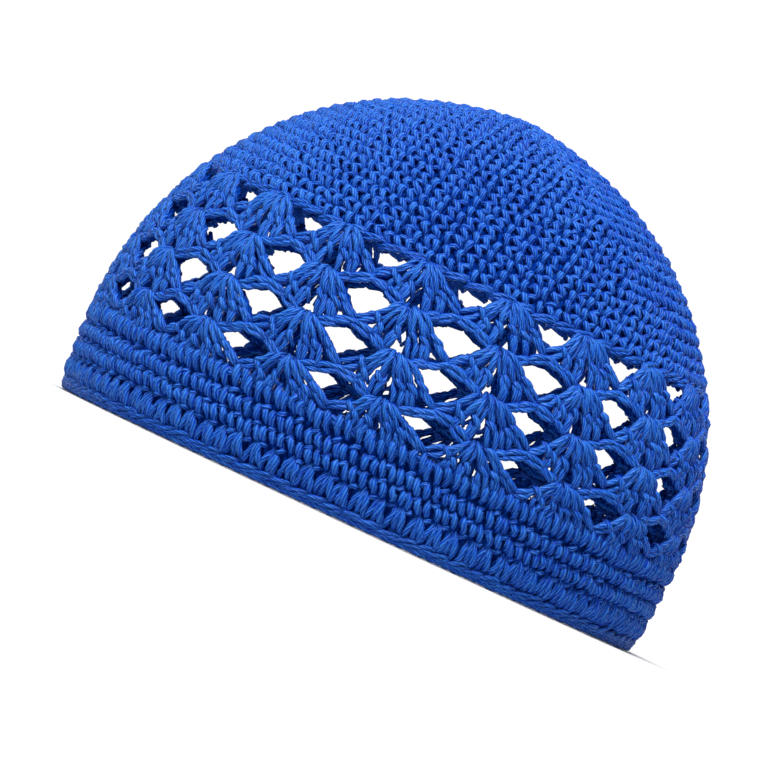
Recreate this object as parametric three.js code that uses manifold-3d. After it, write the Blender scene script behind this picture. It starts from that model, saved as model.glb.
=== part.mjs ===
// A crocheted cotton skull cap: a closed crown, an openwork band of shells, a close brim band and
// a braided rim edge. Millimetres, +Z up. The rim stands on z = 0 and the cap's axis is the Z axis.
// +X is side to side, the long way of the oval. Each wall is as thick as the crocheted fabric.
import * as THREE from "three";
import { mergeVertices } from "three/addons/utils/BufferGeometryUtils.js";
import Module from "manifold-3d";

const wasm = await Module();
wasm.setup();

// ---- Driving dimensions -----------------------------------------------------------------------

const HALF_WIDTH = 94; // widest half width, side to side
const DEPTH_RATIO = 0.945; // front to back against side to side
const CAP_HEIGHT = 128; // rim to the tip of the crown
const WIDEST_HEIGHT = 26.5; // height of the widest round
const RIM_TUCK = 1.9; // how far the rim is drawn in from the widest round
const TIP_RISE = 1.2; // the small peak where the crown was started
const TIP_RADIUS = 15; // how wide that peak is

const FABRIC = 3.4; // thickness of the close single-crochet fabric
const LACE_FABRIC = 3.0; // thickness of the openwork
const PIECE_GAP = 0.3; // gap that neighbouring pieces keep

const LACE_TOP = 78; // height where the crown ends and the openwork starts
const LACE_BOTTOM = 24.6; // height where the openwork ends and the brim starts
const EDGE_TOP = 4.0; // height of the braided edge
const EDGE_FLAT = 2.4; // width of the flat that the edge stands on
const EDGE_CHAMFER = 0.7; // bevel beside that flat

const SHELLS = 19; // shells in each openwork round
const SHELL_ROWS = 4;
const SHELL_ROW_HEIGHT = 13.9; // from one round of shell feet to the next
const COLUMN_START = -0.37; // where the first column of shells hangs, in shells from the front
const COLUMN_DRIFT = 0.07; // how far each round of shells slips sideways, in shells
const GAP_ROWS = [1, 2]; // the rounds whose shells part in the middle

const FACETS = 50; // facets around every ring
const CROWN_STEPS = 10; // facets from the crown's edge to its tip
const LACE_SEAM = 0.61; // where each round of shells is free of openings, in rounds

const YARN_BLUE = 0x1f4fb8;
const YARN_BLUE_DEEP = 0x1b46a6;

// Outlines of the openings, each a row of { across, down }: across in shells from one shell foot
// to the next, down in rounds from the top of the opening's own round.
const TOP_OPENING = [
  { across: 0.32, down: 0.13 },
  { across: 0.82, down: 0.15 },
  { across: 0.69, down: 0.36 },
  { across: 0.54, down: 0.56 },
  { across: 0.38, down: 0.46 },
];
const MAIN_OPENING = [
  { across: 0.3, down: 0.08 },
  { across: 0.43, down: -0.05 },
  { across: 0.66, down: -0.05 },
  { across: 0.82, down: 0.15 },
  { across: 0.55, down: 0.56 },
  { across: 0.44, down: 0.48 },
];
const SHELL_GAP = [
  { across: 0.01, down: 0.65 },
  { across: 0.075, down: 0.92 },
  { across: -0.055, down: 0.92 },
];

// ---- The cap's surface ------------------------------------------------------------------------

const CROWN_RISE = CAP_HEIGHT - WIDEST_HEIGHT - TIP_RISE; // upper half axis of the oval outline
const SKIRT_DROP = WIDEST_HEIGHT / Math.sqrt(1 - (1 - RIM_TUCK / HALF_WIDTH) ** 2);

// Outer half width of the cap at a height below the crown's tip.
function halfWidthAt(height) {
  const halfAxis = height > WIDEST_HEIGHT ? CROWN_RISE : SKIRT_DROP;
  const share = (height - WIDEST_HEIGHT) / halfAxis;
  return HALF_WIDTH * Math.sqrt(1 - share * share);
}

// The outline in the X-Z plane at a height, set in from the outer face by depth along the normal.
function wallPoint(height, depth) {
  const step = 0.05;
  const slope = (halfWidthAt(height + step) - halfWidthAt(height - step)) / (2 * step);
  const normal = new THREE.Vector2(1, -slope).normalize();
  return new THREE.Vector2(halfWidthAt(height), height).addScaledVector(normal, -depth);
}

// The same for the crown, by the angle from its widest round (0) to its tip (a quarter turn).
function crownPoint(angle, depth) {
  const across = HALF_WIDTH * Math.cos(angle);
  const peak = TIP_RISE * Math.exp(-((across / TIP_RADIUS) ** 2));
  const outer = new THREE.Vector2(across, WIDEST_HEIGHT + CROWN_RISE * Math.sin(angle) + peak);
  const normal = new THREE.Vector2(Math.cos(angle) / HALF_WIDTH, Math.sin(angle) / CROWN_RISE);
  return outer.addScaledVector(normal.normalize(), -depth);
}

// The point in space at an angle round the cap, a height and a depth into the wall.
function capPoint(turn, height, depth) {
  const { x: across, y: up } = wallPoint(height, depth);
  return [across * Math.cos(turn), DEPTH_RATIO * across * Math.sin(turn), up];
}

// ---- Solids -----------------------------------------------------------------------------------

// A closed three.js geometry as a manifold-3d solid, with its shared corners merged.
function solidOf(geometry) {
  const bare = geometry.index ? geometry.toNonIndexed() : geometry.clone();
  bare.deleteAttribute("normal");
  bare.deleteAttribute("uv");
  const merged = mergeVertices(bare, 1e-4);
  const corners = merged.index.array;
  const kept = [];
  for (let i = 0; i < corners.length; i += 3) {
    const [a, b, c] = [corners[i], corners[i + 1], corners[i + 2]];
    if (a !== b && b !== c && c !== a) kept.push(a, b, c);
  }
  return new wasm.Manifold(
    new wasm.Mesh({
      numProp: 3,
      vertProperties: merged.attributes.position.array,
      triVerts: new Uint32Array(kept),
    }),
  );
}

// A manifold-3d solid as a flat-shaded three.js geometry.
function geometryOf(solid) {
  const mesh = solid.getMesh();
  const geometry = new THREE.BufferGeometry();
  geometry.setAttribute("position", new THREE.BufferAttribute(mesh.vertProperties, 3));
  geometry.setIndex(new THREE.BufferAttribute(mesh.triVerts, 1));
  const flat = geometry.toNonIndexed();
  flat.computeVertexNormals();
  return flat;
}

// A section in the X-Z plane, turned round the Z axis and pressed into the cap's oval.
function ovalRing(section) {
  const geometry = new THREE.LatheGeometry(section, FACETS);
  geometry.rotateX(Math.PI / 2);
  geometry.scale(1, DEPTH_RATIO, 1);
  return solidOf(geometry);
}

// A wall that follows the cap's surface through the given heights, lowest first.
function wallRing(heights, thickness) {
  const outer = heights.map((height) => wallPoint(height, 0));
  const inner = heights.map((height) => wallPoint(height, thickness)).reverse();
  return ovalRing([...outer, ...inner, outer[0]]);
}

// The straight-sided plug that cuts one opening: the outline, pushed through the whole wall.
function openingPlug(outline, column, row) {
  const outside = -3;
  const inside = LACE_FABRIC + 3;
  const place = ({ across, down }, depth) => {
    const along = COLUMN_START + column + across + COLUMN_DRIFT * (row + down);
    const turn = (along / SHELLS) * 2 * Math.PI - Math.PI / 2;
    return capPoint(turn, LACE_TOP - (row + down) * SHELL_ROW_HEIGHT, depth);
  };
  const near = outline.map((corner) => place(corner, outside));
  const far = outline.map((corner) => place(corner, inside));
  const corners = [];
  for (let i = 0; i < outline.length; i++) {
    const next = (i + 1) % outline.length;
    corners.push(near[i], near[next], far[i], near[next], far[next], far[i]);
    if (i > 0 && next > 0) {
      corners.push(near[0], near[next], near[i], far[0], far[i], far[next]);
    }
  }
  const geometry = new THREE.BufferGeometry();
  geometry.setAttribute("position", new THREE.Float32BufferAttribute(corners.flat(), 3));
  return solidOf(geometry);
}

// ---- The pieces -------------------------------------------------------------------------------

function crown() {
  const edge = Math.asin((LACE_TOP + PIECE_GAP / 2 - WIDEST_HEIGHT) / CROWN_RISE);
  const angles = Array.from(
    { length: CROWN_STEPS + 1 },
    (_, i) => edge + ((Math.PI / 2 - edge) * i) / CROWN_STEPS,
  );
  const outer = angles.map((angle) => crownPoint(angle, 0));
  const inner = angles.map((angle) => crownPoint(angle, FABRIC)).reverse();
  outer.at(-1).x = 0;
  inner[0].x = 0;
  return ovalRing([...inner, ...outer]);
}

function laceBand() {
  const heights = [LACE_TOP - PIECE_GAP / 2];
  for (let row = 0; row < SHELL_ROWS; row++) {
    heights.unshift(LACE_TOP - (row + LACE_SEAM) * SHELL_ROW_HEIGHT);
  }
  heights.unshift(LACE_BOTTOM + PIECE_GAP / 2);
  let band = wallRing(heights, LACE_FABRIC);
  for (let row = 0; row < SHELL_ROWS; row++) {
    for (let column = 0; column < SHELLS; column++) {
      band = band.subtract(openingPlug(row === 0 ? TOP_OPENING : MAIN_OPENING, column, row));
      if (GAP_ROWS.includes(row)) band = band.subtract(openingPlug(SHELL_GAP, column, row));
    }
  }
  return band;
}

function brimBand() {
  const [bottom, top] = [EDGE_TOP + PIECE_GAP / 2, LACE_BOTTOM - PIECE_GAP / 2];
  return wallRing([bottom, (bottom + top) / 2, top], FABRIC);
}

// The edge's section: the wall's thickness at the top, bevelled to a flat that stands on z = 0.
function rimEdge() {
  const top = EDGE_TOP - PIECE_GAP / 2;
  const outer = wallPoint(top, 0);
  const inner = wallPoint(top, FABRIC);
  const middle = wallPoint(0, FABRIC / 2).x;
  const flat = EDGE_FLAT / 2;
  return ovalRing([
    new THREE.Vector2(middle + flat, 0),
    new THREE.Vector2(middle + flat + EDGE_CHAMFER, EDGE_CHAMFER),
    outer,
    inner,
    new THREE.Vector2(middle - flat - EDGE_CHAMFER, EDGE_CHAMFER),
    new THREE.Vector2(middle - flat, 0),
    new THREE.Vector2(middle + flat, 0),
  ]);
}

const PIECES = [
  { name: "crown", build: crown, colour: YARN_BLUE },
  { name: "lace_band", build: laceBand, colour: YARN_BLUE },
  { name: "brim_band", build: brimBand, colour: YARN_BLUE_DEEP },
  { name: "rim_edge", build: rimEdge, colour: YARN_BLUE },
];

const cap = new THREE.Group();
for (const { name, build, colour } of PIECES) {
  const yarn = new THREE.MeshStandardMaterial({ color: colour, roughness: 0.85, metalness: 0 });
  const piece = new THREE.Mesh(geometryOf(build()), yarn);
  piece.name = name;
  cap.add(piece);
}

export default cap;
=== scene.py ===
"""A crocheted cotton beanie: a close crown, four rounds of open shells, a close brim and a braided rim.

Every stitch is yarn. Short tables give the way that one strand takes through a stitch, loops lay
the strands round the cap, and a Geometry Nodes tree sweeps the plied yarn along them.
"""

import math
from collections import namedtuple

import bpy
import numpy as np
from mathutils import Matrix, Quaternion, Vector


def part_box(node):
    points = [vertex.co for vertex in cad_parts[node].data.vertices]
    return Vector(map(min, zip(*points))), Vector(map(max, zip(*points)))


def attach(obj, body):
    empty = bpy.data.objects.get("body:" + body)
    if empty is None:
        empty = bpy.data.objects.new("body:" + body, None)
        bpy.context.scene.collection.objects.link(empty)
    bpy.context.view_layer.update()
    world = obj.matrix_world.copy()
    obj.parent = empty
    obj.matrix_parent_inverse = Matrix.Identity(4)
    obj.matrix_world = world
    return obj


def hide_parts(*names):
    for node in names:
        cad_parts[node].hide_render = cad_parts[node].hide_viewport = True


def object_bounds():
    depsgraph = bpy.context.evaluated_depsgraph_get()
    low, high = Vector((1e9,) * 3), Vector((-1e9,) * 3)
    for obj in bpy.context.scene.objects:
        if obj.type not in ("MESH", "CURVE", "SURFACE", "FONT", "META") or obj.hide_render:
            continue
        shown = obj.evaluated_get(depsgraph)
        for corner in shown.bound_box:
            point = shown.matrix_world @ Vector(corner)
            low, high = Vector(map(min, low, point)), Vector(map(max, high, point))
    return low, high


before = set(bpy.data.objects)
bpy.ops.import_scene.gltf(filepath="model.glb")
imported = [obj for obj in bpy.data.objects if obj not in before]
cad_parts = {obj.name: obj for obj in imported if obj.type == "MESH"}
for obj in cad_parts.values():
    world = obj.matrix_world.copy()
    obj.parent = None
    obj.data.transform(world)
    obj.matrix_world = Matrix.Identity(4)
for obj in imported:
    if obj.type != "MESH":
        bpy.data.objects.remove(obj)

CAD_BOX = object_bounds()
MM = 0.001
FULL_TURN = 2 * math.pi
FRONT = -math.pi / 2  # the turn that faces the front

# ---- Sizes, in millimetres ---------------------------------------------------------------------

HALF_WIDTH = CAD_BOX[1].x / MM
DEPTH_RATIO = CAD_BOX[1].y / CAD_BOX[1].x
CAP_HEIGHT = CAD_BOX[1].z / MM
PIECE_GAP = 0.3
LACE_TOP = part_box("lace_band")[1].z / MM + PIECE_GAP / 2
LACE_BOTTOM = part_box("lace_band")[0].z / MM - PIECE_GAP / 2
EDGE_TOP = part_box("brim_band")[0].z / MM - PIECE_GAP / 2
WIDEST_HEIGHT = 26.5
RIM_TUCK = 1.9
TIP_RISE = 1.2
TIP_RADIUS = 15.0

YARN_RADIUS = 0.98
FABRIC_MIDDLE = -1.75  # middle of the close fabric, from the cap's outer face
LACE_MIDDLE = -1.6  # middle of the openwork
CORE_OUTER_DEPTH = -0.5  # faces of the felted core, from the middle of the close fabric
CORE_INNER_DEPTH = -0.9
CORE_START = 0.6  # distance of the core from the tip
CORE_SETBACK = 1.5  # room between the core and the openwork
SHADED_DEPTH = 0.3  # yarn this near the middle of the fabric is in full shade
LIT_DEPTH = 2.0  # and yarn this much farther out is in none
FINE_STEP = 1.05  # length of yarn between two sections, on strands that show
COARSE_STEP = 1.9  # the same, on strands that lie deep
SHOWN_SIDES = 6  # faces round a strand
DEEP_SIDES = 5
PLY_COUNT = 6.0
PLY_HEIGHT = 0.25  # how far plies and tufts stand up in the materials
TUFT_HEIGHT = 0.3
TWIST_LENGTH = 15.0  # yarn in one turn of its plies
YARN_UV_LENGTH = 10.0  # yarn that one unit of the UV map covers

CROWN_ROUNDS = 23
CROWN_START = 1.4  # distance of the first round from the tip
CROWN_STITCH_TOP = 5.6  # stitch width near the tip
CROWN_STITCH_EDGE = 6.75  # stitch width at the crown's edge
CROWN_DRIFT = -0.13  # how far each round's columns slip, in stitches
CROWN_TOP_ROUNDS = 15  # rounds in the upper of the crown's two pieces
EDGE_ROOM = 0.6  # between the last round and the openwork
BRIM_STITCHES = 100
BRIM_ROUNDS = 3
BRIM_DRIFT = -0.11
TALL_ROUND = 6.4  # height of the last round, above the braid
BRIM_LAP = 1.0  # how far the brim laps over the openwork
FIRST_ROUND_RISE = 2.2  # how much taller the first round is, to reach over the chain

SHELLS = 19
SHELL_ROWS = 4
SHELL_ROW_HEIGHT = 13.9
LAST_ROW_HEIGHT = LACE_TOP - LACE_BOTTOM - (SHELL_ROWS - 1) * SHELL_ROW_HEIGHT
SHELL_WIDTH = FULL_TURN * HALF_WIDTH * 0.93 / SHELLS
COLUMN_START = -0.37  # turn of the first shell, in shells from the front
COLUMN_DRIFT = 0.07  # how far each round of shells slips
LAST_CHAIN_FLATTEN = 0.45  # how much of its scallops the last chain keeps
LAST_CHAIN_BACK = 1.0
SWELL_PLACES = (0.0, 0.28, 0.65, 1.0)  # how a shell's strands thin out where they dive
SWELL = (0.55, 1.0, 1.0, 0.55)

# How uneven the hand work is: in stitches, rounds, millimetres and shares of the yarn's radius.
STITCH_SLIP = 0.055
STITCH_SINK = 0.045
STRAND_TURN = 0.04
STRAND_SINK = 0.035
STRAND_LIFT = 0.1
STRAND_SWELL = 0.07
rng = np.random.default_rng(7)

# ---- Colours and light -------------------------------------------------------------------------

# Yarn tones. Fibre, stitch and patch noise mix them at random; the shader also pulls the colour to the
# deep tone as painted shade in ply grooves and in yarn that lies deep in the fabric, and to the light
# tone as painted highlight on ply crests.
YARN_LIGHT = (0.030, 0.160, 0.56, 1.0)
YARN_MIDDLE = (0.003, 0.080, 0.50, 1.0)
YARN_DEEP = (0.0005, 0.026, 0.33, 1.0)
# A darker copy of the yarn tones, with painted shade, for strands that lie deep in the fabric; their
# side that faces the head takes the lighter tones.
SHADED_LIGHT = (0.020, 0.120, 0.46, 1.0)
SHADED_MIDDLE = (0.002, 0.055, 0.36, 1.0)
SHADED_DEEP = (0.0004, 0.018, 0.19, 1.0)
# The core's outer face is painted dark as shade; its inner face is lighter.
CORE_OUTER = (0.0004, 0.016, 0.15, 1.0)
CORE_INNER = (0.002, 0.050, 0.34, 1.0)
FLOOR_COLOUR = (0.54, 0.54, 0.54, 1.0)
FRONT_ROOM = 0.14  # brightness of the room before the cap and behind it
BACK_ROOM = 1.05
FLOOR_HALF = 12.0  # metres, as are the three below
CAMERA_DISTANCE = 4.0
CAMERA_AIM = (-0.0063, 0.041)  # across and up
VIEW_WIDTH = 768 / 3420  # width of the view at the cap
CAMERA_ROLL = 25  # degrees
SENSOR_WIDTH = 36.0

# ---- Strand tables -----------------------------------------------------------------------------

# One strand of a close stitch. along: stitch widths from the middle of the stitch; down: rounds
# below the loops that it is worked into; out: millimetres from the middle of the fabric;
# thick: share of the yarn's radius.
Strand = namedtuple("Strand", "along down out thick")

CLOSE_STITCH = {
    "left_leg": Strand(
        along=(-0.52, -0.56, -0.57, -0.51, -0.42, -0.33),
        down=(-0.10, 0.10, 0.34, 0.60, 0.84, 1.04),
        out=(-0.95, 0.40, 1.00, 0.85, 0.10, -0.95),
        thick=(0.90, 1.16, 1.22, 1.10, 0.90, 0.70),
    ),
    "right_leg": Strand(
        along=(-0.25, -0.20, -0.09, 0.07, 0.21, 0.28),
        down=(-0.10, 0.10, 0.34, 0.60, 0.82, 0.98),
        out=(-0.95, 0.20, 0.95, 0.90, 0.15, -0.95),
        thick=(0.90, 1.12, 1.20, 1.10, 0.90, 0.70),
    ),
    "cap_loop": Strand(
        along=(-0.25, -0.14, 0.00, 0.13, 0.21),
        down=(1.18, 1.09, 1.00, 0.93, 0.93),
        out=(-0.80, 0.45, 0.95, 0.60, -0.80),
        thick=(0.72, 0.86, 0.92, 0.86, 0.72),
    ),
}

BRIM_STITCH = {
    "left_leg": Strand(
        along=(-0.38, -0.36, -0.28, -0.17, -0.07, 0.01),
        down=(-0.04, 0.14, 0.34, 0.56, 0.76, 0.94),
        out=(-0.95, 0.35, 0.95, 0.85, 0.05, -1.00),
        thick=(1.00, 1.26, 1.34, 1.26, 1.02, 0.78),
    ),
    "right_leg": Strand(
        along=(0.10, 0.15, 0.24, 0.35, 0.44, 0.49),
        down=(-0.04, 0.13, 0.33, 0.54, 0.72, 0.86),
        out=(-0.95, 0.35, 0.95, 0.80, -0.05, -1.15),
        thick=(1.00, 1.26, 1.34, 1.24, 0.98, 0.74),
    ),
    "cap_loop": Strand(
        along=(-0.23, -0.12, 0.00, 0.12, 0.20),
        down=(1.15, 1.07, 0.99, 0.93, 0.93),
        out=(-0.80, 0.45, 0.95, 0.60, -0.80),
        thick=(0.74, 0.88, 0.94, 0.88, 0.74),
    ),
}

EDGE_STITCH = {
    "left_leg": CLOSE_STITCH["left_leg"],
    "right_leg": CLOSE_STITCH["right_leg"],
    "upper_link": Strand(
        along=(-0.66, -0.42, 0.00, 0.42, 0.62),
        down=(1.22, 1.12, 0.94, 0.80, 0.86),
        out=(-0.80, 0.30, 0.85, 0.75, -0.80),
        thick=(0.70, 0.80, 0.85, 0.80, 0.70),
    ),
    "lower_link": Strand(
        along=(-0.58, -0.34, 0.06, 0.46, 0.68),
        down=(1.34, 1.30, 1.18, 1.00, 1.04),
        out=(-0.80, 0.10, 0.60, 0.60, -0.80),
        thick=(0.70, 0.80, 0.85, 0.80, 0.70),
    ),
}

TALL_STITCH = {
    "left_leg": Strand(
        along=(-0.48, -0.54, -0.58, -0.61, -0.62, -0.60),
        down=(-0.12, 0.12, 0.40, 0.68, 0.92, 1.08),
        out=(-0.90, 0.20, 0.75, 0.75, 0.30, -0.80),
        thick=(0.85, 0.98, 1.06, 1.06, 0.98, 0.80),
    ),
    "middle_leg": Strand(
        along=(-0.42, -0.38, -0.32, -0.25, -0.20, -0.18),
        down=(-0.12, 0.12, 0.40, 0.70, 0.94, 1.08),
        out=(-0.70, 0.35, 0.85, 0.80, 0.20, -0.80),
        thick=(0.85, 1.00, 1.12, 1.12, 1.02, 0.80),
    ),
    "right_leg": Strand(
        along=(-0.32, -0.20, -0.06, 0.08, 0.18, 0.22),
        down=(-0.08, 0.12, 0.40, 0.70, 0.94, 1.08),
        out=(-0.70, 0.55, 1.05, 1.00, 0.40, -0.70),
        thick=(0.90, 1.10, 1.22, 1.20, 1.05, 0.85),
    ),
}

# What lies deeper between two stitches and keeps the fabric closed.
DEEP_STITCH = {
    "tail": Strand(
        along=(0.20, 0.26, 0.34, 0.41, 0.46),
        down=(-0.15, 0.15, 0.50, 0.85, 1.12),
        out=(-1.10, -0.55, -0.35, -0.55, -1.10),
        thick=(0.95, 1.10, 1.20, 1.10, 0.95),
    ),
}

BRAID_LINK = {
    "upper": Strand(
        along=(-0.90, -0.62, -0.10, 0.44, 0.80, 0.94),
        down=(0.72, 0.58, 0.34, 0.14, 0.10, 0.26),
        out=(-0.60, 0.45, 1.00, 0.95, 0.35, -0.60),
        thick=(0.60, 0.72, 0.78, 0.76, 0.70, 0.60),
    ),
    "lower": Strand(
        along=(-0.80, -0.50, 0.00, 0.50, 0.86, 1.00),
        down=(0.80, 0.76, 0.58, 0.38, 0.30, 0.42),
        out=(-0.60, 0.30, 0.80, 0.85, 0.30, -0.60),
        thick=(0.60, 0.72, 0.78, 0.76, 0.70, 0.60),
    ),
}

# A tall stitch of a shell. line: its middle line from the loop that it is worked round to its head,
# as (across, down), in shells from the shell's foot and rounds of shells; waist: the share of the
# line above its yarn-over; wrap: the yarn-over's direction, across and down.
Post = namedtuple("Post", "line waist wrap")

SHELL_POSTS = [
    Post([(-0.10, 0.01), (-0.15, 0.12), (-0.21, 0.26), (-0.29, 0.41), (-0.37, 0.53), (-0.48, 0.65)],
         0.56, (0.55, 0.83)),
    Post([(-0.065, 0.01), (-0.12, 0.20), (-0.185, 0.40), (-0.235, 0.60), (-0.27, 0.86)],
         0.66, (0.55, 0.83)),
    Post([(-0.025, 0.01), (-0.045, 0.25), (-0.070, 0.48), (-0.095, 0.70), (-0.125, 0.97)],
         0.52, (0.50, 0.87)),
    Post([(0.02, 0.01), (0.055, 0.25), (0.095, 0.48), (0.12, 0.70), (0.14, 0.97)],
         0.50, (0.74, 0.67)),
    Post([(0.06, 0.01), (0.14, 0.20), (0.205, 0.40), (0.25, 0.62), (0.28, 0.88)],
         0.58, (0.82, 0.57)),
    Post([(0.09, 0.00), (0.19, 0.10), (0.27, 0.24), (0.34, 0.42), (0.41, 0.55), (0.50, 0.67)],
         0.52, (0.84, 0.54)),
]

# Links of the chain that finishes a round of shells: start, end, and how far it lies back.
Link = namedtuple("Link", "start end back")

SHELL_CHAIN = [
    Link(start=(-0.13, 1.05), end=(0.03, 1.07), back=1.3),
    Link(start=(-0.01, 1.07), end=(0.16, 1.04), back=1.3),
    Link(start=(0.13, 1.06), end=(0.34, 0.90), back=0.2),
    Link(start=(0.30, 0.94), end=(0.53, 0.75), back=0.0),
    Link(start=(0.48, 0.77), end=(0.73, 0.84), back=0.0),
    Link(start=(0.69, 0.81), end=(0.90, 1.05), back=0.2),
]

# ---- The cap's surface -------------------------------------------------------------------------

DOME_STEPS, SKIRT_STEPS = 900, 200
Outline = namedtuple("Outline", "distance across up normal_across normal_up")


def trace_outline():
    """The cap's outer outline from the tip to the rim, by distance along the fabric."""
    rise = CAP_HEIGHT - WIDEST_HEIGHT - TIP_RISE
    drop = WIDEST_HEIGHT / math.sqrt(1 - (1 - RIM_TUCK / HALF_WIDTH) ** 2)
    angle = np.linspace(math.pi / 2, 0, DOME_STEPS)
    dome_across = HALF_WIDTH * np.cos(angle)
    peak = TIP_RISE * np.exp(-((dome_across / TIP_RADIUS) ** 2))
    dome_up = WIDEST_HEIGHT + rise * np.sin(angle) + peak
    skirt_up = np.linspace(WIDEST_HEIGHT, 0, SKIRT_STEPS)[1:]
    skirt_across = HALF_WIDTH * np.sqrt(1 - ((WIDEST_HEIGHT - skirt_up) / drop) ** 2)
    across = np.concatenate([dome_across, skirt_across])
    up = np.concatenate([dome_up, skirt_up])
    step = np.hypot(np.diff(across), np.diff(up))
    distance = np.concatenate([[0], np.cumsum(step)])
    slope_across, slope_up = np.gradient(across, distance), np.gradient(up, distance)
    length = np.hypot(slope_across, slope_up)
    return Outline(distance, across, up, -slope_up / length, slope_across / length)


OUTLINE = trace_outline()


def distance_at(height):
    """Distance along the fabric from the tip to a height."""
    return np.interp(-np.asarray(height, float), -OUTLINE.up, OUTLINE.distance)


def half_width_at(distance):
    """Half the cap's width at a distance from the tip."""
    return np.interp(distance, OUTLINE.distance, OUTLINE.across)


def on_cap(turn, distance, out):
    """Points in metres: turn round the cap, distance from the tip, out from the outer face."""
    columns = (np.interp(distance, OUTLINE.distance, column) for column in OUTLINE[1:])
    across, up, normal_across, normal_up = columns
    across = across + out * normal_across
    up = up + out * normal_up
    past_rim = np.maximum(distance - OUTLINE.distance[-1], 0)
    x = across * np.cos(turn)
    y = DEPTH_RATIO * across * np.sin(turn)
    return np.stack([x, y, up - past_rim], axis=-1) * MM


# ---- Laying strands ----------------------------------------------------------------------------


def wander(shape, amount):
    """The small unevenness of hand work."""
    return rng.normal(0, amount, shape)


def lay_round(yarns, stitch, loops, heads, top, height):
    """Works one stitch on every head: loops and heads are turns, top and height are distances."""
    width = FULL_TURN / len(heads)
    slip = wander((len(heads), 1), STITCH_SLIP)
    sink = wander((len(heads), 1), STITCH_SINK)
    for strand in stitch.values():
        along, down, out, thick = (np.array(column)[None, :] for column in strand)
        reach = np.clip(down, 0, 1)
        turn = loops[:, None] * (1 - reach) + heads[:, None] * reach + (along + slip) * width
        count = turn.shape
        turn = turn + wander(count, STRAND_TURN) * width
        distance = top + (down + sink + wander(count, STRAND_SINK)) * height
        lift = FABRIC_MIDDLE + out + wander(count, STRAND_LIFT)
        radius = YARN_RADIUS * thick * (1 + wander(count, STRAND_SWELL))
        yarns.append((on_cap(turn, distance, lift), radius * MM, False))


def lay_ring(yarns, heads, per_stitch, distance, lift, thick):
    """One closed strand round the cap, with some points for each stitch."""
    count = len(heads) * per_stitch
    turn = heads[0] + np.arange(count) * FULL_TURN / count
    radius = np.full(count, thick * YARN_RADIUS * MM)
    yarns.append((on_cap(turn, distance, lift)[None], radius[None], True))


def lay_back_ring(yarns, heads, top, height):
    """The bars that a round shows on the inside, as one wavy strand."""
    wave = np.arange(4 * len(heads)) * math.pi / 2
    distance = top + height * (0.55 + 0.24 * np.sin(wave))
    lift = FABRIC_MIDDLE - 1.05 - 0.25 * np.cos(wave) + wander(len(wave), 0.08)
    lay_ring(yarns, heads, 4, distance, lift, 0.95)


def lay_foot_strand(yarns, heads):
    """The strand under the braid, which the cap stands on."""
    wave = np.arange(2 * len(heads)) * math.pi
    distance = np.full(len(wave), OUTLINE.distance[-1] - YARN_RADIUS - 0.1)
    lift = FABRIC_MIDDLE + 0.3 + 0.15 * np.cos(wave) + wander(len(wave), 0.05)
    lay_ring(yarns, heads, 2, distance, lift, 1.0)


def nearest_loops(heads, loops):
    """For each head, the turn of the nearest loop of the round above, kept next to the head."""
    away = (loops[None, :] - heads[:, None] + math.pi) % FULL_TURN - math.pi
    pick = np.abs(away).argmin(axis=1)
    return heads + away[np.arange(len(heads)), pick]


def crown_yarns():
    """The close rounds of the crown, tip first: the strands that show, and those that lie deep."""
    edge = float(distance_at(LACE_TOP)) - EDGE_ROOM
    height = (edge - CROWN_START) / CROWN_ROUNDS
    rounds, deep = [], []
    heads = None
    phase = 0.0
    for number in range(CROWN_ROUNDS):
        yarns = []
        top = CROWN_START + number * height
        share = number / (CROWN_ROUNDS - 1)
        width = CROWN_STITCH_TOP + (CROWN_STITCH_EDGE - CROWN_STITCH_TOP) * share
        round_length = math.pi * (1 + DEPTH_RATIO) * half_width_at(top + height / 2)
        count = max(6, round(round_length / width))
        phase += CROWN_DRIFT
        above = heads
        heads = FRONT + (np.arange(count) + phase) * FULL_TURN / count
        loops = heads if above is None else nearest_loops(heads, above)
        stitch = EDGE_STITCH if number == CROWN_ROUNDS - 1 else CLOSE_STITCH
        lay_round(yarns, stitch, loops, heads, top, height)
        rounds.append(yarns)
        lay_round(deep, DEEP_STITCH, loops, heads, top, height)
        lay_back_ring(deep, heads, top, height)
    return rounds, deep


def brim_yarns():
    """The close rounds under the shells, with the tall last round, and their deep strands."""
    yarns, deep = [], []
    top = float(distance_at(LACE_BOTTOM)) - BRIM_LAP
    bottom = float(distance_at(EDGE_TOP))
    height = (bottom - TALL_ROUND - top) / BRIM_ROUNDS
    heads = FRONT + np.arange(BRIM_STITCHES) * FULL_TURN / BRIM_STITCHES
    for number in range(BRIM_ROUNDS + 1):
        loops = heads
        heads = heads + BRIM_DRIFT * FULL_TURN / BRIM_STITCHES
        tall = number == BRIM_ROUNDS
        stitch = TALL_STITCH if tall else BRIM_STITCH
        span = TALL_ROUND if tall else height
        start = top + number * height
        if number == 0:
            start, span = start - FIRST_ROUND_RISE, span + FIRST_ROUND_RISE
        lay_round(yarns, stitch, loops, heads, start, span)
        lay_round(deep, DEEP_STITCH, loops, heads, start, span)
        lay_back_ring(deep, heads, start, span)
    return yarns, deep


def braid_yarns():
    """The braid along the rim: overlapping slanted links."""
    yarns = []
    top = float(distance_at(EDGE_TOP))
    heads = FRONT + np.arange(BRIM_STITCHES) * FULL_TURN / BRIM_STITCHES
    height = OUTLINE.distance[-1] - top
    lay_round(yarns, BRAID_LINK, heads, heads, top, height)
    lay_back_ring(yarns, heads, top, height)
    lay_foot_strand(yarns, heads)
    return yarns


# ---- Shells ------------------------------------------------------------------------------------


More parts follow.
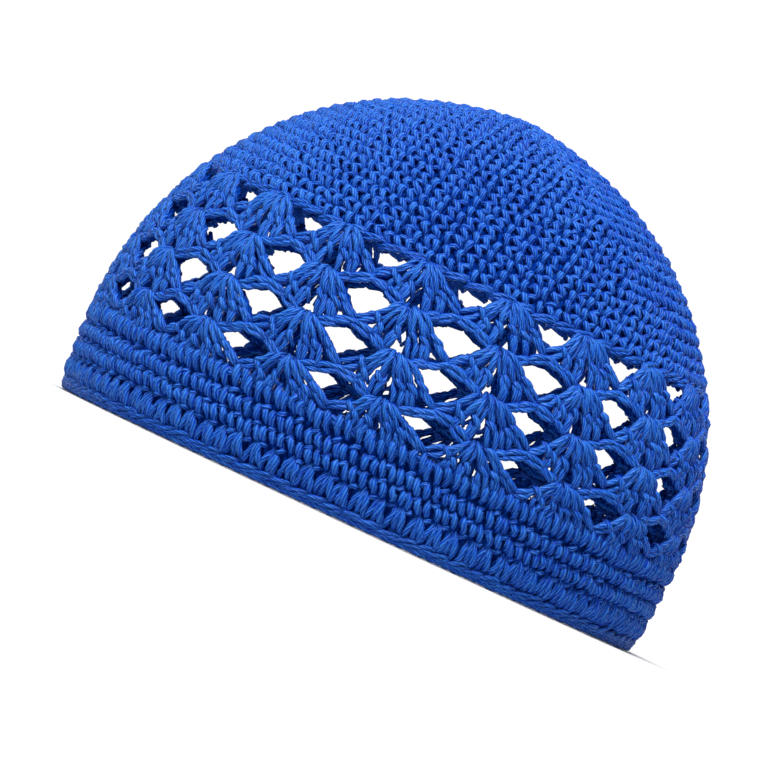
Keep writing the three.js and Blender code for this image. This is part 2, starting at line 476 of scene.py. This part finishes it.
def shell_place(column, row, across, down, out):
    """Points on the openwork: across in shells, down in rounds from the shell's foot."""
    row_height = SHELL_ROW_HEIGHT if row < SHELL_ROWS - 1 else LAST_ROW_HEIGHT
    along = COLUMN_START + column + across + COLUMN_DRIFT * (row + down)
    turn = FRONT + along * FULL_TURN / SHELLS
    height = LACE_TOP - row * SHELL_ROW_HEIGHT - down * row_height
    return on_cap(turn, distance_at(height), LACE_MIDDLE + out)


def to_mm(place):
    """Turns shells across and rounds down into millimetres."""
    return np.array(place, float) * [SHELL_WIDTH, SHELL_ROW_HEIGHT]


def from_mm(place):
    """Turns millimetres into shells across and rounds down."""
    return np.array(place, float) / [SHELL_WIDTH, SHELL_ROW_HEIGHT]


class Path:
    """A bent line on the openwork, read by the share of its length."""

    def __init__(self, places):
        self.places = to_mm(places)
        step = np.linalg.norm(np.diff(self.places, axis=0), axis=1)
        self.shares = np.concatenate([[0], np.cumsum(step)])
        self.length = self.shares[-1]
        self.shares = self.shares / self.length

    def at(self, share, sideways):
        """The place at a share of the length, beside the line by some millimetres."""
        lower = max(0, min(len(self.shares) - 2, int(np.searchsorted(self.shares, share)) - 1))
        start, end = self.places[lower], self.places[lower + 1]
        run = (share - self.shares[lower]) / (self.shares[lower + 1] - self.shares[lower])
        direction = (end - start) / np.linalg.norm(end - start)
        side = np.array([-direction[1], direction[0]])
        return from_mm(start + (end - start) * run + side * sideways)


def lay_shell_strand(yarns, row, keys, radius):
    """Lays one strand on every shell of a round: keys are rows of across, down and out."""
    keys = np.array(keys, float)
    count = (SHELLS, len(keys))
    across = keys[None, :, 0] + wander(count, 0.007) + wander((SHELLS, 1), 0.012)
    down = keys[None, :, 1] + wander(count, 0.013) + wander((SHELLS, 1), 0.014)
    out = keys[None, :, 2] + wander(count, 0.12)
    points = shell_place(np.arange(SHELLS)[:, None], row, across, down, out)
    swell = np.interp(np.linspace(0, 1, len(keys)), SWELL_PLACES, SWELL)
    yarns.append((points, radius * MM * swell * (1 + wander(count, 0.09)), False))


def lay_post(yarns, deep, row, post):
    """A tall stitch: a thick and a thin strand, the yarn-over round them, and strands to the head."""
    path = Path(post.line)
    waist = post.waist
    inward = 1 if post.line[-1][0] > 0 else -1
    thick_rise = [(-0.10, -0.8), (0.02, 0.8), (0.14, 1.25), (0.32, 1.15), (waist - 0.06, 0.7),
                  (waist + 0.08, -0.6)]
    keys = [(*path.at(share, -0.25 * inward), out) for share, out in thick_rise]
    lay_shell_strand(yarns, row, keys, 0.98)
    thin_rise = [(-0.06, -0.9), (0.08, 0.3), (0.22, 0.9), (0.42, 0.75), (waist, 0.2),
                 (waist + 0.12, -0.7)]
    keys = [(*path.at(share, 0.85 * inward), out) for share, out in thin_rise]
    lay_shell_strand(yarns, row, keys, 0.72)
    middle = to_mm(path.at(waist, 0.0))
    wrap = [(-1.3, -0.9), (-0.6, 0.5), (0.7, 1.3), (2.1, 1.0), (3.5, -0.7)]
    keys = [(*from_mm(middle + np.array(post.wrap) * run), out) for run, out in wrap]
    lay_shell_strand(yarns, row, keys, 1.0)
    below = 0.5 + waist / 2
    for hand, radius in ((-1, 1.0), (1, 0.9)):
        fall = [(waist - 0.06, -0.6, 0.4), (waist + 0.08, 0.4, 0.6), (below, 0.85, 0.72),
                (0.95, 0.5, 0.65), (1.06, -0.6, 0.4)]
        keys = [(*path.at(share, hand * wide), out) for share, out, wide in fall]
        lay_shell_strand(yarns, row, keys, radius)
    core = [(waist - 0.25, -0.8), (waist, -0.5), (below, -0.4), (1.08, -0.8)]
    keys = [(*path.at(share, 0.0), out) for share, out in core]
    lay_shell_strand(deep, row, keys, 1.25)


def lay_link(yarns, deep, row, link):
    """A chain link: two strands that part in the middle, with a third behind them."""
    last = row == SHELL_ROWS - 1
    places = [link.start, link.end]
    if last:
        places = [(across, 1 - (1 - down) * LAST_CHAIN_FLATTEN) for across, down in places]
    path = Path(places)
    back = link.back + (LAST_CHAIN_BACK if last else 0.0)
    for hand, radius in ((-1, 0.98), (1, 0.85)):
        bend = [(-0.22, -0.8, 0.1), (0.02, 0.4, 0.35), (0.36, 1.0, 0.68), (0.72, 1.0, 0.60),
                (1.00, 0.4, 0.3), (1.20, -0.6, 0.1)]
        keys = [(*path.at(share, hand * wide), out - back) for share, out, wide in bend]
        lay_shell_strand(yarns, row, keys, radius)
    keys = [(*path.at(share, 0.0), -0.5 - back) for share in (-0.1, 0.3, 0.7, 1.1)]
    lay_shell_strand(deep, row, keys, 1.2)


def shell_yarns(row):
    """One round of shells and the chain that finishes it, and the strands that lie deep."""
    yarns, deep = [], []
    for post in SHELL_POSTS:
        lay_post(yarns, deep, row, post)
    for link in SHELL_CHAIN:
        lay_link(yarns, deep, row, link)
    return yarns, deep


# ---- Sweeping the yarn -------------------------------------------------------------------------


def guide_mesh(name, yarns):
    """The strands as lines, with their radius on each point."""
    places, sizes, edges, start = [], [], [], 0
    for points, radius, closed in yarns:
        strands, length = radius.shape
        places.append(points.reshape(-1, 3))
        sizes.append(radius.reshape(-1))
        index = start + np.arange(strands * length).reshape(strands, length)
        edges.append(np.stack([index[:, :-1], index[:, 1:]], axis=-1).reshape(-1, 2))
        if closed:
            edges.append(np.stack([index[:, -1], index[:, 0]], axis=-1))
        start += strands * length
    mesh = bpy.data.meshes.new(name)
    mesh.from_pydata(np.concatenate(places), np.concatenate(edges), [])
    radii = mesh.attributes.new("strand_radius", "FLOAT", "POINT")
    radii.data.foreach_set("value", np.concatenate(sizes).astype(np.float32))
    guide = bpy.data.objects.new(name, mesh)
    bpy.context.scene.collection.objects.link(guide)
    return guide


class NodeSketch:
    """A few short calls for building a node tree."""

    def __init__(self, tree):
        self.tree = tree

    def add(self, kind, settings=None, **inputs):
        node = self.tree.nodes.new(kind)
        for key, value in (settings or {}).items():
            setattr(node, key, value)
        for key, value in inputs.items():
            self.plug(value, node.inputs[key.replace("_", " ")])
        return node

    def plug(self, value, socket):
        if isinstance(value, bpy.types.Node):
            value = value.outputs[0]
        if isinstance(value, bpy.types.NodeSocket):
            self.tree.links.new(value, socket)
        else:
            socket.default_value = value

    def blend(self, share, low, high):
        """Mixes two colours, with the share held between 0 and 1."""
        node = self.add("ShaderNodeMix", {"data_type": "RGBA", "clamp_factor": True})
        colours = [socket for socket in node.inputs if socket.type == "RGBA"]
        self.plug(share, node.inputs[0])
        self.plug(low, colours[0])
        self.plug(high, colours[1])
        return next(socket for socket in node.outputs if socket.type == "RGBA")

    def math(self, operation, *values):
        node = self.tree.nodes.new("ShaderNodeMath")
        node.operation = operation
        for value, socket in zip(values, node.inputs):
            self.plug(value, socket)
        return node.outputs[0]


YARN_INPUTS = {
    "Lobes": ("NodeSocketInt", 3),
    "Lobe Depth": ("NodeSocketFloat", 0.06),
    "Sides": ("NodeSocketInt", SHOWN_SIDES),
    "Step": ("NodeSocketFloat", FINE_STEP * MM),
    "Twist Length": ("NodeSocketFloat", TWIST_LENGTH * MM),
    "Seed": ("NodeSocketInt", 3),
}


def yarn_tree():
    """Sweeps a plied, twisted yarn along every line, and gives it a length-and-turn UV map."""
    tree = bpy.data.node_groups.new("plied_yarn", "GeometryNodeTree")
    tree.interface.new_socket("Lines", in_out="INPUT", socket_type="NodeSocketGeometry")
    for name, (kind, value) in YARN_INPUTS.items():
        tree.interface.new_socket(name, in_out="INPUT", socket_type=kind).default_value = value
    tree.interface.new_socket("Yarn", in_out="INPUT", socket_type="NodeSocketMaterial")
    tree.interface.new_socket("Mesh", in_out="OUTPUT", socket_type="NodeSocketGeometry")
    sketch = NodeSketch(tree)
    given = sketch.add("NodeGroupInput").outputs

    lines = sketch.add("GeometryNodeMeshToCurve", Mesh=given["Lines"])
    smooth = sketch.add("GeometryNodeCurveSplineType", {"spline_type": "CATMULL_ROM"}, Curve=lines)
    finer = sketch.add("GeometryNodeSetSplineResolution", Geometry=smooth, Resolution=4)
    even = sketch.add("GeometryNodeResampleCurve", {"mode": "LENGTH"}, Curve=finer, Length=given["Step"])

    run = sketch.add("GeometryNodeSplineParameter").outputs["Length"]
    first = sketch.add("FunctionNodeRandomValue", {"data_type": "FLOAT"}, Seed=given["Seed"])
    spline = sketch.add("GeometryNodeInputIndex")
    on_spline = sketch.add("GeometryNodeFieldOnDomain", {"domain": "CURVE", "data_type": "INT"})
    sketch.plug(spline.outputs[0], on_spline.inputs[0])
    sketch.plug(on_spline.outputs[0], first.inputs["ID"])
    turns = sketch.math("DIVIDE", run, given["Twist Length"])
    tilt = sketch.math("MULTIPLY", sketch.math("ADD", turns, first.outputs[1]), FULL_TURN)
    twisted = sketch.add("GeometryNodeSetCurveTilt", Curve=even, Tilt=tilt)
    along = sketch.add("GeometryNodeStoreNamedAttribute", {"data_type": "FLOAT", "domain": "POINT"},
                       Geometry=twisted, Name="yarn_along", Value=run)

    circle = sketch.add("GeometryNodeCurvePrimitiveCircle", {"mode": "RADIUS"},
                        Resolution=given["Sides"], Radius=1.0)
    place = sketch.add("GeometryNodeSplineParameter").outputs["Factor"]
    around = sketch.add("GeometryNodeStoreNamedAttribute", {"data_type": "FLOAT", "domain": "POINT"},
                        Geometry=circle, Name="yarn_around", Value=place)
    lobe_turn = sketch.math("MULTIPLY", sketch.math("MULTIPLY", place, given["Lobes"]), FULL_TURN)
    lobes = sketch.math("COSINE", lobe_turn)
    swell = sketch.math("ADD", 1.0, sketch.math("MULTIPLY", lobes, given["Lobe Depth"]))
    position = sketch.add("GeometryNodeInputPosition")
    lobed = sketch.add("ShaderNodeVectorMath", {"operation": "SCALE"})
    sketch.plug(position.outputs[0], lobed.inputs[0])
    sketch.plug(swell, lobed.inputs["Scale"])
    section = sketch.add("GeometryNodeSetPosition", Geometry=around, Position=lobed.outputs[0])

    radius = sketch.add("GeometryNodeInputNamedAttribute", {"data_type": "FLOAT"}, Name="strand_radius")
    swept = sketch.add("GeometryNodeCurveToMesh", Curve=along, Profile_Curve=section,
                       Scale=radius, Fill_Caps=True)

    # The last strip of faces closes the round, so its corners at turn 0 are lifted to turn 1.
    number = {"data_type": "FLOAT"}
    turn = sketch.add("GeometryNodeInputNamedAttribute", number, Name="yarn_around").outputs[0]
    face_turn = sketch.add("GeometryNodeFieldOnDomain", {"domain": "FACE", "data_type": "FLOAT"})
    sketch.plug(turn, face_turn.inputs[0])
    at_seam = sketch.math("LESS_THAN", turn, 0.01)
    last_strip = sketch.math("GREATER_THAN", face_turn.outputs[0], 0.3)
    lifted = sketch.math("ADD", turn, sketch.math("MULTIPLY", at_seam, last_strip))
    length = sketch.add("GeometryNodeInputNamedAttribute", number, Name="yarn_along").outputs[0]
    units = sketch.math("DIVIDE", length, YARN_UV_LENGTH * MM)
    uv = sketch.add("ShaderNodeCombineXYZ", X=units, Y=lifted)
    mapped = sketch.add("GeometryNodeStoreNamedAttribute", {"data_type": "FLOAT2", "domain": "CORNER"},
                        Geometry=swept, Name="yarn_uv", Value=uv)
    soft = sketch.add("GeometryNodeSetShadeSmooth", Geometry=mapped)
    real = sketch.add("GeometryNodeRealizeInstances", Geometry=soft)
    finished = sketch.add("GeometryNodeSetMaterial", Geometry=real, Material=given["Yarn"])
    result = sketch.add("NodeGroupOutput")
    sketch.plug(finished, result.inputs["Mesh"])
    return tree


def store_lit_share(mesh, values):
    """Gives each point the share of light that reaches it, which the materials paint into the colour as
    shade.
    """
    lit_share = mesh.attributes.new("lit_share", "FLOAT", "POINT")
    lit_share.data.foreach_set("value", values.astype(np.float32))


def write_lit_share(mesh, deep):
    """Stores on each point how far it stands out of the fabric: 0 in the middle, 1 on the faces. Low
    values are painted darker as shade.

    A deep strand counts as open on the side that faces the head alone, so its outer side is painted in
    shade.
    """
    places = np.empty(len(mesh.vertices) * 3, np.float32)
    mesh.vertices.foreach_get("co", places)
    x, y, z = places.reshape(-1, 3).T / MM
    across, up = np.hypot(x, y / DEPTH_RATIO), z - WIDEST_HEIGHT
    outline_up = OUTLINE.up - WIDEST_HEIGHT
    outline_angle = np.arctan2(outline_up, OUTLINE.across)[::-1]
    outline_reach = np.hypot(outline_up, OUTLINE.across)[::-1]
    out = np.hypot(across, up) - np.interp(np.arctan2(up, across), outline_angle, outline_reach)
    reach = FABRIC_MIDDLE - out if deep else np.abs(out - FABRIC_MIDDLE)
    store_lit_share(mesh, np.clip((reach - SHADED_DEPTH) / LIT_DEPTH, 0, 1))


def sweep(name, yarns, tree, material, deep=False):
    """Turns strands into a finished mesh piece. Deep strands get fewer sections and sides."""
    sizes = {"Step": COARSE_STEP * MM, "Sides": DEEP_SIDES} if deep else {}
    guide = guide_mesh(name + "_lines", yarns)
    modifier = guide.modifiers.new("yarn", "NODES")
    modifier.node_group = tree
    inputs = [item for item in tree.interface.items_tree if item.in_out == "INPUT"]
    sockets = {item.name: item.identifier for item in inputs}
    modifier[sockets["Yarn"]] = material
    for key, value in sizes.items():
        modifier[sockets[key]] = value
    graph = bpy.context.evaluated_depsgraph_get()
    mesh = bpy.data.meshes.new_from_object(guide.evaluated_get(graph), depsgraph=graph)
    mesh.name = name
    for spare in ("yarn_along", "yarn_around", "strand_radius"):
        if spare in mesh.attributes:
            mesh.attributes.remove(mesh.attributes[spare])
    guide.modifiers.remove(modifier)
    bpy.data.objects.remove(guide)
    write_lit_share(mesh, deep)
    piece = bpy.data.objects.new(name, mesh)
    bpy.context.scene.collection.objects.link(piece)
    return piece


# ---- Lining of felted yarn inside the close fabric, painted in shade on its outer face ----------


def core_sheet(name, top, bottom, material):
    """The yarn that fills the middle of the close fabric: a thin closed wall, painted dark as shade on
    its outer face.
    """
    steps, facets = max(4, round((bottom - top) / 5)), 90
    distance = np.linspace(top, bottom, steps)
    outer, inner = FABRIC_MIDDLE + CORE_OUTER_DEPTH, FABRIC_MIDDLE + CORE_INNER_DEPTH
    loop = [(d, outer) for d in distance] + [(d, inner) for d in distance[::-1]]
    turn = np.arange(facets) * FULL_TURN / facets
    ring = np.array(loop)
    size = len(loop)
    out = np.broadcast_to(ring[None, :, 1], (facets, size))
    places = on_cap(turn[:, None], ring[None, :, 0], out)
    faces = []
    for i in range(facets):
        for j in range(size):
            a, b = i * size + j, i * size + (j + 1) % size
            c, d = ((i + 1) % facets) * size + (j + 1) % size, ((i + 1) % facets) * size + j
            faces.append((a, b, c, d))
    mesh = bpy.data.meshes.new(name)
    mesh.from_pydata(places.reshape(-1, 3), [], faces)
    mesh.materials.append(material)
    mesh.shade_smooth()
    # Lit share: 1 on the inner face, 0 on the outer face, which the core's material paints dark as
    # shade.
    store_lit_share(mesh, np.tile(ring[:, 1] == inner, facets))
    piece = bpy.data.objects.new(name, mesh)
    bpy.context.scene.collection.objects.link(piece)
    return piece


# ---- Materials ---------------------------------------------------------------------------------


def fibre_group():
    """Plies and fine fibres on yarn: a colour, a roughness and a height from the yarn's UV map; the
    colour holds painted shade in ply grooves and in yarn that lies deep, and painted highlight on ply
    crests.
    """
    tree = bpy.data.node_groups.new("cotton_fibre", "ShaderNodeTree")
    for name, kind, value in [
        ("Yarn UV", "NodeSocketVector", None),
        ("Light Colour", "NodeSocketColor", (1, 1, 1, 1)),
        ("Middle Colour", "NodeSocketColor", (0.5, 0.5, 0.5, 1)),
        ("Deep Colour", "NodeSocketColor", (0, 0, 0, 1)),
        ("Plies", "NodeSocketFloat", PLY_COUNT),
        ("Lit Share", "NodeSocketFloat", 1.0),
        ("Shade", "NodeSocketFloat", 0.5),
    ]:
        socket = tree.interface.new_socket(name, in_out="INPUT", socket_type=kind)
        if value is not None:
            socket.default_value = value
    for name, kind in [("Colour", "NodeSocketColor"), ("Roughness", "NodeSocketFloat"),
                       ("Height", "NodeSocketFloat")]:
        tree.interface.new_socket(name, in_out="OUTPUT", socket_type=kind)
    sketch = NodeSketch(tree)
    given = sketch.add("NodeGroupInput").outputs
    split = sketch.add("ShaderNodeSeparateXYZ", Vector=given["Yarn UV"])
    along, around = split.outputs["X"], split.outputs["Y"]
    angle = sketch.math("MULTIPLY", around, FULL_TURN)
    cosine, sine = sketch.math("COSINE", angle), sketch.math("SINE", angle)
    run = sketch.math("MULTIPLY", along, 1.1)
    tube = sketch.add("ShaderNodeCombineXYZ", X=cosine, Y=sine, Z=run)
    fibres = sketch.add("ShaderNodeTexNoise", Vector=tube.outputs[0], Scale=3.2, Detail=3.0,
                        Roughness=0.65)
    sway = sketch.add("ShaderNodeTexNoise", Vector=tube.outputs[0], Scale=1.1, Detail=1.0)
    place = sketch.add("ShaderNodeTexCoord").outputs["Object"]
    stitches = sketch.add("ShaderNodeTexNoise", Vector=place, Scale=170.0, Detail=1.0)
    patches = sketch.add("ShaderNodeTexNoise", Vector=place, Scale=28.0, Detail=1.0)

    # Ply lines: painted shade in the grooves between plies and painted highlight on their crests; the
    # same lines raise the bump.
    straight = sketch.math("MULTIPLY", angle, given["Plies"])
    bent = sketch.math("MULTIPLY_ADD", sway.outputs[0], 5.0, straight)
    ply = sketch.math("MULTIPLY_ADD", sketch.math("COSINE", bent), 0.5, 0.5)
    ply = sketch.math("POWER", ply, 1.2)
    tone = sketch.math("MULTIPLY", ply, 1.2)
    tone = sketch.math("MULTIPLY_ADD", fibres.outputs[0], 1.5, tone)
    tone = sketch.math("MULTIPLY_ADD", stitches.outputs[0], 0.5, tone)
    tone = sketch.math("MULTIPLY_ADD", patches.outputs[0], 0.4, tone)
    tone = sketch.math("SUBTRACT", tone, 0.9)
    # Painted shade: yarn that lies deep in the fabric is darkened by the Shade amount.
    painted_shade = sketch.math("SUBTRACT", 1.0, sketch.math("POWER", given["Lit Share"], 1.5))
    tone = sketch.math("SUBTRACT", tone, sketch.math("MULTIPLY", painted_shade, given["Shade"]))
    lower_half = sketch.math("MULTIPLY", tone, 2.0)
    upper_half = sketch.math("MULTIPLY_ADD", tone, 2.0, -1.0)
    low = sketch.blend(lower_half, given["Deep Colour"], given["Middle Colour"])
    high = sketch.blend(upper_half, low, given["Light Colour"])
    result = sketch.add("NodeGroupOutput")
    sketch.plug(high, result.inputs["Colour"])
    gloss = sketch.math("MULTIPLY_ADD", fibres.outputs[0], 0.3, 0.32)
    sketch.plug(gloss, result.inputs["Roughness"])
    rise = sketch.math("MULTIPLY_ADD", fibres.outputs[0], 0.7, ply)
    sketch.plug(rise, result.inputs["Height"])
    return tree


def start_material(name):
    """A new material, a sketch of its nodes and its shader."""
    material = bpy.data.materials.new(name)
    material.use_nodes = True
    tree = material.node_tree
    return material, NodeSketch(tree), tree.nodes["Principled BSDF"]


def cotton(name, group, light, middle, deep, shade, sheen, specular):
    """Mercerised cotton yarn with a soft sheen."""
    material, sketch, shader = start_material(name)
    fibre = sketch.add("ShaderNodeGroup", {"node_tree": group})
    uv = sketch.add("ShaderNodeUVMap", {"uv_map": "yarn_uv"})
    sketch.plug(uv.outputs[0], fibre.inputs["Yarn UV"])
    # The lit share of each point drives the painted shade in the fibre group.
    lit_share = sketch.add("ShaderNodeAttribute", {"attribute_name": "lit_share"})
    sketch.plug(lit_share.outputs["Fac"], fibre.inputs["Lit Share"])
    fibre.inputs["Shade"].default_value = shade
    fibre.inputs["Light Colour"].default_value = light
    fibre.inputs["Middle Colour"].default_value = middle
    fibre.inputs["Deep Colour"].default_value = deep
    sketch.plug(fibre.outputs["Colour"], shader.inputs["Base Color"])
    sketch.plug(fibre.outputs["Roughness"], shader.inputs["Roughness"])
    bump = sketch.add("ShaderNodeBump", Strength=1.0, Distance=PLY_HEIGHT * MM,
                      Height=fibre.outputs["Height"])
    sketch.plug(bump.outputs[0], shader.inputs["Normal"])
    shader.inputs["Specular IOR Level"].default_value = specular
    shader.inputs["Sheen Weight"].default_value = sheen
    shader.inputs["Sheen Roughness"].default_value = 0.5
    shader.inputs["Sheen Tint"].default_value = (0.15, 0.45, 1.0, 1.0)
    return material


def felted(name):
    """Packed fibres in the middle of the fabric, dark with painted shade on the outer side and lighter
    on the side that faces the head.
    """
    material, sketch, shader = start_material(name)
    place = sketch.add("ShaderNodeTexCoord").outputs["Object"]
    tufts = sketch.add("ShaderNodeTexNoise", Vector=place, Scale=420.0, Detail=3.0).outputs[0]
    # Painted shade: the outer face takes the dark core colour, the inner face the lighter one, with
    # tufts mixed in.
    lit_share = sketch.add("ShaderNodeAttribute", {"attribute_name": "lit_share"}).outputs["Fac"]
    share = sketch.math("MULTIPLY", sketch.math("ADD", tufts, 0.4), lit_share)
    sketch.plug(sketch.blend(share, CORE_OUTER, CORE_INNER), shader.inputs["Base Color"])
    sketch.plug(sketch.math("MULTIPLY_ADD", tufts, 0.2, 0.75), shader.inputs["Roughness"])
    bump = sketch.add("ShaderNodeBump", Strength=0.6, Distance=TUFT_HEIGHT * MM, Height=tufts)
    sketch.plug(bump.outputs[0], shader.inputs["Normal"])
    shader.inputs["Specular IOR Level"].default_value = 0.0
    return material


def painted(name, colour):
    """Plain matt paint, for the floor."""
    material, _, shader = start_material(name)
    shader.inputs["Base Color"].default_value = colour
    shader.inputs["Roughness"].default_value = 0.95
    return material


# ---- The pieces --------------------------------------------------------------------------------


def finish_piece(piece, *nodes):
    """Fixes a piece to the cap in place of CAD nodes."""
    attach(piece, "root")
    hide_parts(*nodes)


def build_cap():
    tree = yarn_tree()
    fibre = fibre_group()
    yarn = cotton("cotton_yarn", fibre, YARN_LIGHT, YARN_MIDDLE, YARN_DEEP,
                  shade=0.5, sheen=0.08, specular=0.12)
    # The same yarn with painted shade, for strands that lie deep in the fabric.
    shaded = cotton("cotton_yarn_shaded", fibre, SHADED_LIGHT, SHADED_MIDDLE, SHADED_DEEP,
                    shade=1.0, sheen=0.0, specular=0.0)
    core = felted("cotton_core")

    rounds, deep = crown_yarns()
    upper, lower = sum(rounds[:CROWN_TOP_ROUNDS], []), sum(rounds[CROWN_TOP_ROUNDS:], [])
    finish_piece(sweep("crown_top_rounds", upper, tree, yarn), "crown")
    finish_piece(sweep("crown_lower_rounds", lower, tree, yarn), "crown")
    finish_piece(sweep("crown_deep_strands", deep, tree, shaded, deep=True), "crown")
    all_deep = []
    for row in range(SHELL_ROWS):
        shown, deep = shell_yarns(row)
        all_deep += deep
        finish_piece(sweep(f"shell_round_{row + 1}", shown, tree, yarn), "lace_band")
    finish_piece(sweep("shell_deep_strands", all_deep, tree, shaded, deep=True), "lace_band")
    shown, deep = brim_yarns()
    finish_piece(sweep("brim_rounds", shown, tree, yarn), "brim_band")
    finish_piece(sweep("brim_deep_strands", deep, tree, shaded, deep=True), "brim_band")
    finish_piece(sweep("rim_braid", braid_yarns(), tree, yarn), "rim_edge")

    crown_end = float(distance_at(LACE_TOP)) - CORE_SETBACK
    finish_piece(core_sheet("crown_core", CORE_START, crown_end, core), "crown")
    brim_start = float(distance_at(LACE_BOTTOM)) + CORE_SETBACK
    brim_end = float(distance_at(EDGE_TOP))
    finish_piece(core_sheet("brim_core", brim_start, brim_end, core), "brim_band")


# ---- Studio ------------------------------------------------------------------------------------


def place_lamp(name, kind, power):
    """A new lamp at the origin."""
    light = bpy.data.lights.new(name, kind)
    light.energy = power
    lamp = bpy.data.objects.new(name, light)
    bpy.context.scene.collection.objects.link(lamp)
    return light, lamp


def soft_sun(name, toward, spread, power):
    """Broad light from a direction; spread is its width in degrees."""
    light, lamp = place_lamp(name, "SUN", power)
    light.angle = math.radians(spread)
    lamp.rotation_mode = "QUATERNION"
    lamp.rotation_quaternion = Vector(toward).to_track_quat("Z", "Y")


def inside_glow():
    """A faint light in the cap, so that its far wall reads through the openwork."""
    light, lamp = place_lamp("inside_light", "POINT", 0.08)
    light.shadow_soft_size = 0.02
    lamp.location = (0.0, 0.0, 0.05)
    lamp.visible_camera = False


def floor():
    """A plain pale floor."""
    mesh = bpy.data.meshes.new("studio_floor")
    half = FLOOR_HALF
    corners = [(-half, -half, 0), (half, -half, 0), (half, half, 0), (-half, half, 0)]
    mesh.from_pydata(corners, [], [(0, 1, 2, 3)])
    mesh.materials.append(painted("pale_floor", FLOOR_COLOUR))
    ground = bpy.data.objects.new("studio_floor", mesh)
    bpy.context.scene.collection.objects.link(ground)


def soft_room():
    """A pale room that is brightest behind the cap."""
    world = bpy.data.worlds.new("soft_room")
    bpy.context.scene.world = world
    world.use_nodes = True
    sketch = NodeSketch(world.node_tree)
    back = world.node_tree.nodes["Background"]
    back.inputs["Color"].default_value = (1.0, 1.0, 1.0, 1.0)
    direction = sketch.add("ShaderNodeTexCoord").outputs["Generated"]
    toward_back = sketch.add("ShaderNodeSeparateXYZ", Vector=direction).outputs["Y"]
    ramp = sketch.add("ShaderNodeMapRange", {"interpolation_type": "SMOOTHSTEP"}, Value=toward_back)
    ramp.inputs["From Min"].default_value = -0.2
    ramp.inputs["From Max"].default_value = 0.7
    ramp.inputs["To Min"].default_value = FRONT_ROOM
    ramp.inputs["To Max"].default_value = BACK_ROOM
    sketch.plug(ramp.outputs[0], back.inputs["Strength"])


def studio():
    """A pale floor and room, two soft lights and a faint one in the cap."""
    floor()
    soft_room()
    soft_sun("top_light", (-0.12, -0.36, 1.0), 25, 5.5)
    soft_sun("front_light", (-0.15, -1.0, 0.12), 12, 0.4)
    inside_glow()


def camera():
    """Looks level at the front, rolled, from far enough to see it flat."""
    lens = bpy.data.cameras.new("view")
    lens.sensor_width = SENSOR_WIDTH
    lens.lens = SENSOR_WIDTH * CAMERA_DISTANCE / VIEW_WIDTH
    lens.clip_end = 50
    view = bpy.data.objects.new("view", lens)
    view.location = (CAMERA_AIM[0], -CAMERA_DISTANCE, CAMERA_AIM[1])
    view.rotation_mode = "QUATERNION"
    level = Quaternion((1, 0, 0), math.pi / 2)
    view.rotation_quaternion = level @ Quaternion((0, 0, 1), math.radians(CAMERA_ROLL))
    bpy.context.scene.collection.objects.link(view)
    bpy.context.scene.camera = view


camera()
studio()
build_cap()
bpy.context.scene.view_settings.view_transform = "Standard"
